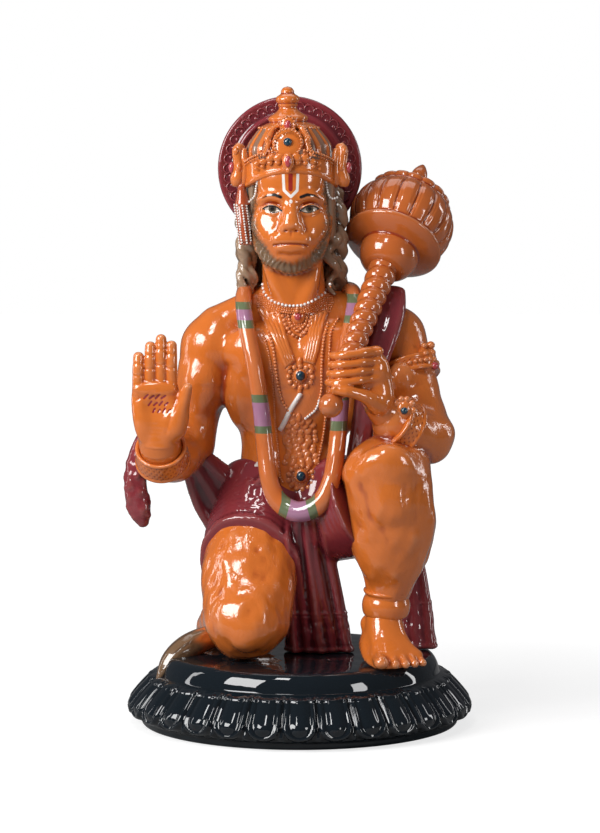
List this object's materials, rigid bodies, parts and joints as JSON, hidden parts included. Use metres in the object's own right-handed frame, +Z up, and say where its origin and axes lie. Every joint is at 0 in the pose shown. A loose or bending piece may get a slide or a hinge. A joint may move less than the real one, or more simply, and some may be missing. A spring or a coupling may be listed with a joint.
{
  "type": "kneeling deity figurine",
  "caption": "Glazed porcelain figure of a kneeling monkey deity, palm raised, with a ball-headed mace over the shoulder, on a round plinth carved with lotus petals.",
  "frame": {"origin": "centre of the plinth's flat underside", "axes": "+Z up; the figure faces -Y; +X to the right of someone who looks at its face"},
  "size_m": [0.2735, 0.2692, 0.5],
  "materials": {
    "figure_glaze": "glossy glaze, mostly orange, with maroon cloth and halo, brown hair, white pearls and small painted gems",
    "plinth_glaze": "very glossy blue-black glaze"
  },
  "bodies": {
    "root": {"figure": "figure_glaze", "plinth": "plinth_glaze"}
  },
  "joints": []
}
